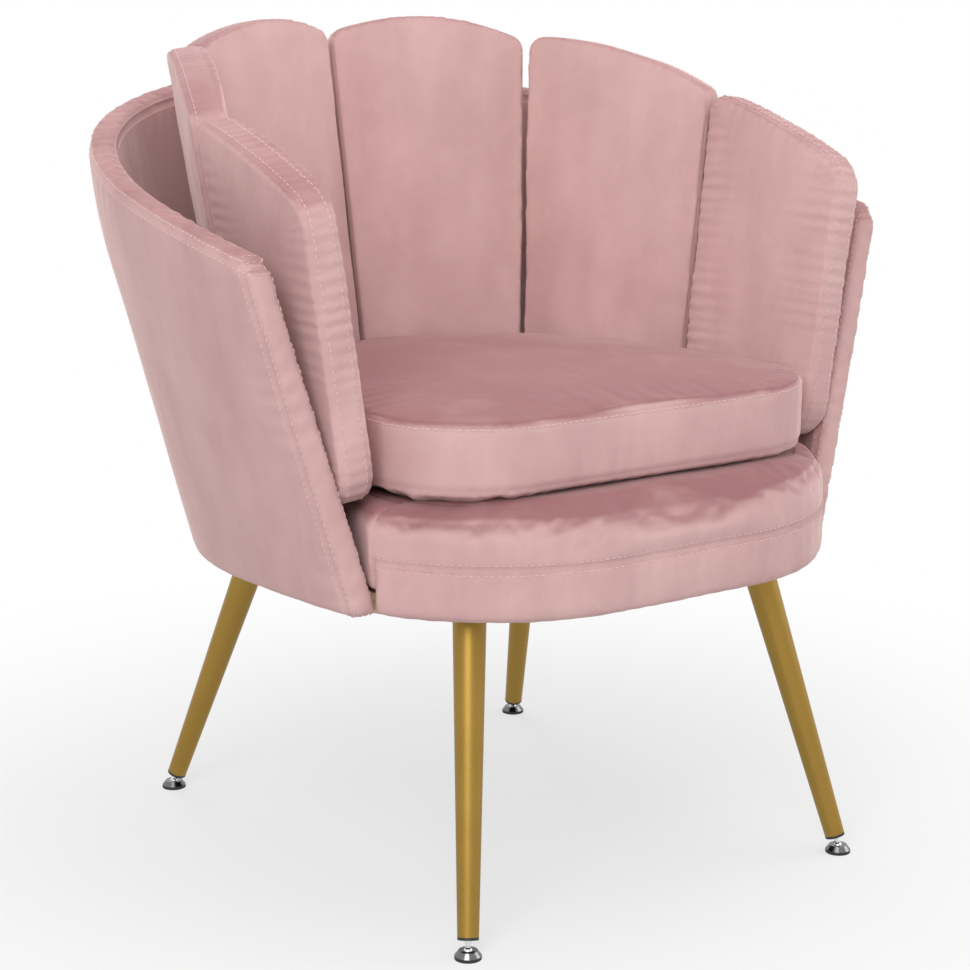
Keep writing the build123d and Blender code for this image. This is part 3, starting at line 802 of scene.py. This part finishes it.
class DressShell(bpy.types.Operator):
    """Upholsters the outer shell with its banded rim"""

    bl_idname = "armchair.dress_shell"
    bl_label = "Outer shell"

    FINE_REACH = 0.018      # smaller squares this far from a seam

    def merged(self, *nodes):
        """CAD parts in one form, with their loose triangles joined."""
        form = bmesh.new()
        for node in nodes:
            form.from_mesh(NODES[node].data)
        bmesh.ops.remove_doubles(form, verts=form.verts, dist=MERGE)
        return form

    def execute(self, context):
        size = sizes()
        form = self.merged("shell_cover", "shell_core")
        skin = remeshed("shell_form", form, size.block_grain)
        form.free()
        rumpled(skin, amount=0.0012, size=0.11, seed=14.0)
        outside = self.merged("shell_cover")
        seams, rows = [], []
        for point, normal in ((RIM_POINT, RIM_NORMAL), (EDGE_POINT, EDGE_NORMAL)):
            seams += ring(outside, point - normal * size.band, normal)
            for shift in (-size.twin, size.twin):
                rows += ring(outside, point - normal * (size.band + shift), normal)
        outside.free()
        refined_near(skin, seams, self.FINE_REACH)
        for seam in seams:
            sew(skin, seam, depth=size.groove, width=0.0034,
                pucker=0.0005, reach=0.014, pitch=0.02, seed=11.0)
        # Painted shade on the shell's faces that look up, weaker than on the cushion.
        brushed(skin, seed=14.0, turned=0.55)
        piece = dress("shell_velvet", skin, velvet(), FRAME_BODY)
        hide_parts("shell_cover")
        stitches = bmesh.new()
        surface = surface_of(skin)
        for row in rows:
            stitch_line(stitches, surface, row)
        new_piece("shell_stitches", stitches, thread(), FRAME_BODY)
        return {"FINISHED"}


class FinishMetal(bpy.types.Operator):
    """Gives the legs, glides and hidden parts their finishes"""

    bl_idname = "armchair.finish_metal"
    bl_label = "Legs and hidden parts"

    def execute(self, context):
        brass = brushed_brass()
        steel = plain_finish("zinc_steel", (0.42, 0.42, 0.44),
                             roughness=0.4, metallic=1.0, scale=300.0, spread=0.25)
        black = plain_finish("black_plastic", (0.015, 0.015, 0.016),
                             roughness=0.45, metallic=0.0, scale=500.0, spread=0.3)
        cloth = plain_finish("black_cloth", (0.02, 0.02, 0.021),
                             roughness=0.9, metallic=0.0, scale=1200.0, spread=0.5)
        # Underside of the cushion: rose cloth in the dark velvet colour, painted as velvet in shade.
        painted_shade_base = plain_finish("rose_base_painted_shade", (0.27, 0.125, 0.13),
                              roughness=0.9, metallic=0.0, scale=1200.0, spread=0.4)
        chrome = plain_finish("bright_steel", (0.7, 0.7, 0.72),
                              roughness=0.18, metallic=1.0, scale=200.0, spread=0.1)
        foam = plain_finish("foam", (0.8, 0.75, 0.6),
                            roughness=0.9, metallic=0.0, scale=600.0, spread=0.2)
        cap = glide_finish()
        wood = plywood()
        finishes = {"leg_plate": steel, "leg_plug": black, "leg_": brass, "glide_stem": chrome,
                    "glide_pad": cap, "petal_screws": steel, "plate_screws": steel, "dust_cover": cloth,
                    "cushion_base": painted_shade_base, "seat_board": wood, "shell_core": wood}
        for name, node in NODES.items():
            finish = next((f for start, f in finishes.items() if name.startswith(start)), None)
            if finish is None:
                finish = wood if "board" in name else foam
            node.data.materials.clear()
            node.data.materials.append(finish)
        return {"FINISHED"}


class SetStage(bpy.types.Operator):
    """Sets the floor, the studio light and the camera"""

    bl_idname = "armchair.set_stage"
    bl_label = "Studio"

    AIM = Vector((0, 0, 0.45))
    # Name, place, size and power of each lamp
    LAMPS = (
        ("key", (-2.1, -2.0, 2.3), 2.0, 76.0),
        ("top", (0.3, -0.2, 3.0), 2.4, 34.0),
        ("side", (2.6, -1.2, 1.7), 1.8, 26.0),
        ("rim", (0.4, 2.6, 2.2), 1.8, 22.0),
    )

    def set_floor(self, scene):
        """Pale floor that fades to white away from the chair."""
        floor = bmesh.new()
        bmesh.ops.create_grid(floor, x_segments=1, y_segments=1, size=30.0)
        mesh = bpy.data.meshes.new("studio_floor")
        floor.to_mesh(mesh)
        floor.free()
        ground = bpy.data.objects.new("studio_floor", mesh)
        scene.collection.objects.link(ground)
        paint = Finish("studio_floor", {
            "Roughness": 0.9, "Specular IOR Level": 0.1, "Base Color": (*colours().studio, 1)})
        here = paint.node("ShaderNodeTexCoord", out="Object")
        away = paint.node("ShaderNodeVectorMath", {"operation": "LENGTH"}, {0: here}, out="Value")
        fade = paint.node("ShaderNodeMapRange", {"interpolation_type": "SMOOTHSTEP"}, {
            "Value": away, "From Min": 0.3, "From Max": 1.0, "To Min": 0.62, "To Max": 1.0})
        glow = paint.node("ShaderNodeEmission", None, {"Color": WHITE, "Strength": 1.0})
        paint.show(paint.node("ShaderNodeMixShader", None, {
            0: fade * paint.white_rays(), 1: paint.shader, 2: glow}))
        mesh.materials.append(paint.material)

    def set_world(self, scene):
        """Even light from all round, seen as white."""
        scene.world = bpy.data.worlds.new("studio")
        scene.world.use_nodes = True
        sky = Nodes(scene.world.node_tree, "ShaderNodeOutputWorld")
        light = sky.node("ShaderNodeBackground", None, {"Color": WHITE, "Strength": 0.55})
        seen = sky.node("ShaderNodeBackground", None, {"Color": WHITE, "Strength": 1.0})
        sky.show(sky.node("ShaderNodeMixShader", None, {0: sky.white_rays(), 1: light, 2: seen}))

    def set_lamps(self, scene):
        """Large soft lamps, turned to the chair."""
        for name, spot, size, power in self.LAMPS:
            lamp = bpy.data.lights.new(name, "AREA")
            lamp.energy = power
            lamp.size = size
            light = bpy.data.objects.new(name, lamp)
            light.location = spot
            light.rotation_euler = (self.AIM - Vector(spot)).to_track_quat("-Z", "Y").to_euler()
            scene.collection.objects.link(light)

    def set_camera(self, scene):
        """The photograph's viewing angle."""
        lens = bpy.data.cameras.new("photo_camera")
        lens.sensor_width = 36.0
        lens.lens = 89.19
        lens.shift_x = 0.0142
        lens.shift_y = -0.0071
        camera = bpy.data.objects.new("photo_camera", lens)
        camera.location = (-1.33085, -1.85122 + TUB.y, 0.85244)
        camera.rotation_euler = (math.radians(77.54), 0, math.radians(-35.15))
        scene.collection.objects.link(camera)
        scene.camera = camera

    def execute(self, context):
        scene = context.scene
        scene.view_settings.view_transform = "Standard"
        self.set_floor(scene)
        self.set_world(scene)
        self.set_lamps(scene)
        self.set_camera(scene)
        return {"FINISHED"}


class ArmchairPanel(bpy.types.Panel):
    """Lists the dressing steps, the sizes and the colours"""

    bl_idname = "VIEW3D_PT_armchair"
    bl_label = "Armchair"
    bl_space_type = "VIEW_3D"
    bl_region_type = "UI"
    bl_category = "Armchair"

    def draw(self, context):
        for step in STEPS:
            self.layout.operator(step.bl_idname)
        for group in (context.scene.chair_sizes, context.scene.chair_colours):
            for name in group.__annotations__:
                self.layout.prop(group, name)


STEPS = (FinishMetal, DressShell, DressDeck, DressPetals, DressCushion, SetStage)
CLASSES = (ChairSizes, ChairColours, *STEPS, ArmchairPanel)


def register():
    """Registers the classes and the scene's properties."""
    for item in CLASSES:
        bpy.utils.register_class(item)
    bpy.types.Scene.chair_sizes = PointerProperty(type=ChairSizes)
    bpy.types.Scene.chair_colours = PointerProperty(type=ChairColours)


def unregister():
    """Takes the properties and classes out again."""
    del bpy.types.Scene.chair_colours
    del bpy.types.Scene.chair_sizes
    for item in reversed(CLASSES):
        bpy.utils.unregister_class(item)


def main():
    """Dresses the chair step by step."""
    register()
    bpy.ops.armchair.finish_metal()
    bpy.ops.armchair.dress_shell()
    bpy.ops.armchair.dress_deck()
    bpy.ops.armchair.dress_petals()
    bpy.ops.armchair.dress_cushion()
    bpy.ops.armchair.set_stage()


if __name__ == "__main__":
    main()
